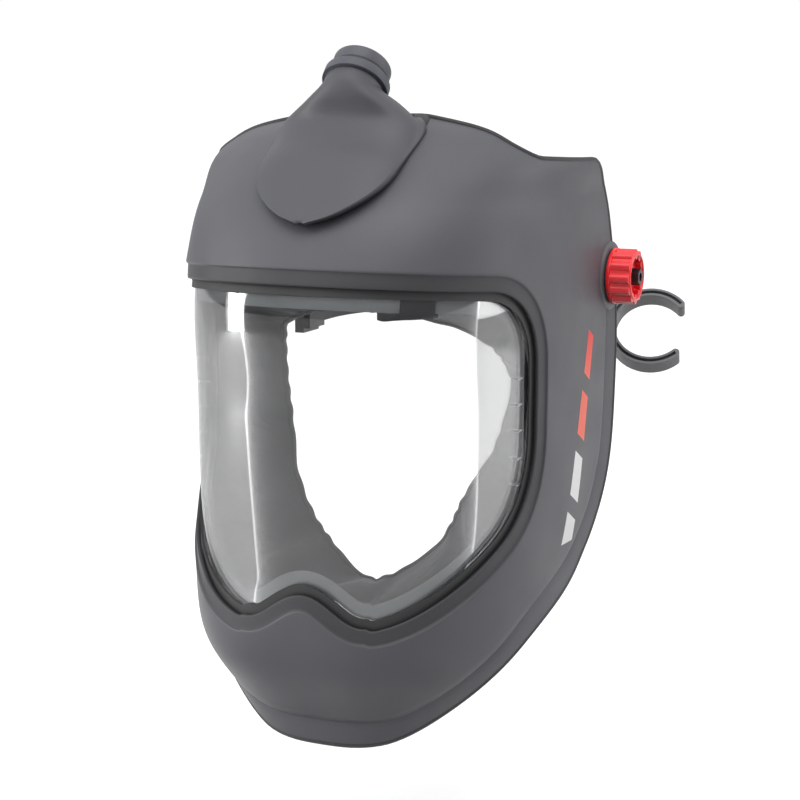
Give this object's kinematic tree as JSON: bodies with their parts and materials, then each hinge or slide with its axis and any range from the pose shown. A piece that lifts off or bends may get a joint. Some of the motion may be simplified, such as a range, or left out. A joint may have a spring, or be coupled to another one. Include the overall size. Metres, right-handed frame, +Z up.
{
  "type": "powered air respirator headtop",
  "caption": "Hard-shell face visor headtop with forehead air duct, swivelling hose connector, tilting pivots with clamp knobs, fabric face seal and ratchet head harness.",
  "frame": {"origin": "midway between the two shell pivots, on the pivot axis, which is where the head carries the part", "axes": "+X to the wearer's left along the pivot axis, -Y ahead, +Z up"},
  "size_m": [0.2551, 0.3169, 0.3776],
  "materials": {
    "shell_plastic": "fine-textured matt dark grey moulding",
    "boss_plastic": "matt grey moulding",
    "black_rubber": "satin black rubber",
    "clear_lens": "clear polished polycarbonate",
    "frame_plastic": "translucent smoky plastic",
    "black_plastic": "satin black moulding",
    "seal_fabric": "grey coated woven fabric",
    "foam": "open-cell foam",
    "pad_fabric": "brushed knit over foam",
    "red_plastic": "glossy red moulding",
    "steel": "plated steel",
    "bolt_black": "black oxide steel",
    "brass": "turned brass",
    "nylon": "natural nylon"
  },
  "bodies": {
    "headgear": {"front_band": "black_plastic", "band_rivets": "steel", "sweatband": "pad_fabric", "side_arm_left": "black_plastic", "side_arm_right": "black_plastic", "strap_guide_left": "black_plastic", "strap_guide_right": "black_plastic", "friction_disc_left": "nylon", "friction_disc_right": "nylon", "thrust_washer_left": "black_plastic", "thrust_washer_right": "black_plastic", "pivot_bolt_left": "bolt_black", "pivot_bolt_right": "bolt_black", "crown_strap_left": "black_plastic", "crown_strap_right": "black_plastic", "crown_studs": "steel", "strap_rivets": "steel", "crown_pad": "pad_fabric"},
    "shell": {"outer_shell": "shell_plastic", "rim_trim": "black_rubber", "visor_gasket": "black_rubber", "visor_lens": "clear_lens", "lens_frame": "frame_plastic", "lens_latch": "black_plastic", "face_seal": "seal_fabric", "seal_hem": "seal_fabric", "duct_cover": "shell_plastic", "duct_gasket": "black_rubber", "duct_screws": "steel", "inner_duct": "black_plastic", "air_diffuser": "foam", "pivot_bush_left": "nylon", "pivot_bush_right": "nylon", "boss_pad_left": "boss_plastic", "boss_pad_right": "boss_plastic"},
    "connector": {"hose_connector": "black_plastic", "swivel_seal": "black_rubber", "swivel_clip": "steel", "spigot_seal": "black_rubber"},
    "knob_l": {"knob_left": "red_plastic", "knob_insert_left": "brass"},
    "knob_r": {"knob_right": "red_plastic", "knob_insert_right": "brass"},
    "cradle": {"rear_band": "black_plastic", "nape_pad": "pad_fabric", "ratchet_housing": "black_plastic", "ratchet_cover": "black_plastic", "housing_screws": "steel", "hose_clip": "black_plastic"},
    "dial": {"ratchet_pinion": "black_plastic", "ratchet_dial": "black_plastic", "dial_cap": "red_plastic"}
  },
  "joints": [
    {"name": "shell_tilt", "type": "hinge", "parent": "headgear", "child": "shell", "pos_m": [0, 0, 0], "axis": [-1, 0, 0], "range_deg": [0, 65]},
    {"name": "knob_left_turn", "type": "hinge", "parent": "headgear", "child": "knob_l", "pos_m": [0.115, 0, 0], "axis": [1, 0, 0], "range_deg": [0, 360]},
    {"name": "knob_right_turn", "type": "hinge", "parent": "headgear", "child": "knob_r", "pos_m": [-0.115, 0, 0], "axis": [-1, 0, 0], "range_deg": [0, 360]},
    {"name": "hose_swivel", "type": "hinge", "parent": "shell", "child": "connector", "pos_m": [0, -0.115, 0.107], "axis": [0, 0.6947, 0.7193], "continuous": true},
    {"name": "cradle_slide", "type": "slide", "parent": "headgear", "child": "cradle", "axis": [0, 1, 0], "range_m": [-0.006, 0.012]},
    {"name": "dial_turn", "type": "hinge", "parent": "cradle", "child": "dial", "pos_m": [0, 0.115, -0.027], "axis": [0, 1, 0], "range_deg": [-60.5, 120.5]}
  ],
  "couplings": [
    {"joint": "dial_turn", "follows": "cradle_slide", "rad_per_m": 174.53}
  ]
}
